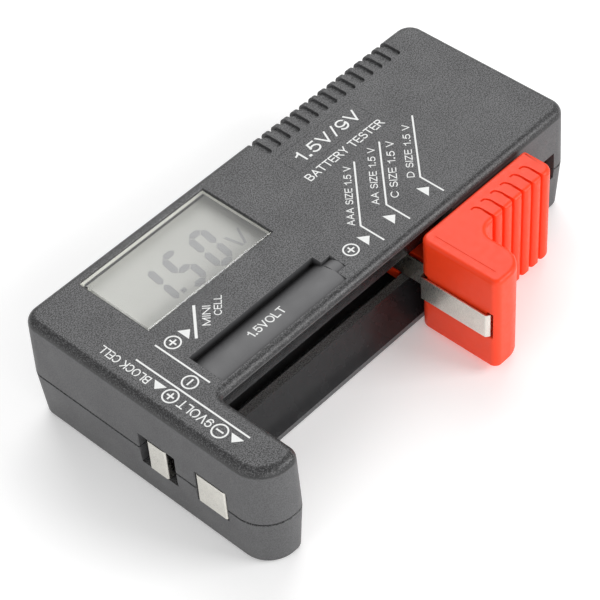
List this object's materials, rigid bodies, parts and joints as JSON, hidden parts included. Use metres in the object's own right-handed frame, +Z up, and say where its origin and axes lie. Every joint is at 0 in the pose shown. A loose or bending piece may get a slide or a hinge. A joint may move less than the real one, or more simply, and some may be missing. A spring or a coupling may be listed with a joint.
{
  "type": "battery tester",
  "caption": "Hand-held battery tester: black two-part case with a liquid-crystal display, end contacts for 9 V blocks and a red sliding clamp for round cells.",
  "frame": {"origin": "centre of the outline on the flat base", "axes": "+X along the case away from the 9 V end, +Y to the display side, -Y to the cell channel and slider, +Z up through the display"},
  "size_m": [0.1094, 0.0622, 0.026],
  "materials": {
    "case_plastic": "fine moulded grain, black",
    "slider_plastic": "satin moulded red",
    "contact_nickel": "nickel-plated strip",
    "rail_brass": "brass strip",
    "screw_steel": "zinc-plated steel",
    "spring_steel": "drawn spring wire",
    "window_acrylic": "clear acrylic",
    "lcd_glass": "reflective liquid-crystal glass",
    "frame_plastic": "white moulding",
    "zebra_rubber": "layered elastomer",
    "board_laminate": "glass-epoxy laminate with solder mask",
    "epoxy_black": "black epoxy",
    "resistor_body": "lacquered resistor",
    "inductor_sleeve": "black shrink sleeve",
    "capacitor_sleeve": "dark blue sleeve",
    "diode_glass": "orange glass",
    "wire_red": "red insulation",
    "wire_black": "black insulation"
  },
  "bodies": {
    "case": {"top_shell": "case_plastic", "bottom_shell": "case_plastic", "fixed_cell_contact": "contact_nickel", "nine_volt_positive": "contact_nickel", "nine_volt_negative": "contact_nickel", "contact_rail": "rail_brass", "display_window": "window_acrylic", "lcd_panel": "lcd_glass", "lcd_frame": "frame_plastic", "zebra_strip_1": "zebra_rubber", "zebra_strip_2": "zebra_rubber", "circuit_board": "board_laminate", "chip_blob": "epoxy_black", "load_resistor_1": "resistor_body", "load_resistor_2": "resistor_body", "boost_inductor": "inductor_sleeve", "filter_capacitor": "capacitor_sleeve", "switch_transistor": "epoxy_black", "rectifier_diode": "diode_glass", "return_spring": "spring_steel", "lead_positive_9v": "wire_red", "lead_negative_9v": "wire_black", "lead_cell_negative": "wire_black", "lead_rail_positive": "wire_red", "case_screw_1": "screw_steel", "case_screw_2": "screw_steel", "case_screw_3": "screw_steel", "case_screw_4": "screw_steel", "board_screw_1": "screw_steel", "board_screw_2": "screw_steel", "board_screw_3": "screw_steel"},
    "slider": {"slider": "slider_plastic", "slider_contact": "contact_nickel", "wiper": "rail_brass"}
  },
  "joints": [
    {"name": "slider_slide", "type": "slide", "parent": "case", "child": "slider", "axis": [1, 0, 0], "range_m": [-0.0503, 0.0111], "stiffness_N_per_m": 30, "springref_m": -0.06, "deforming": ["return_spring"]}
  ]
}
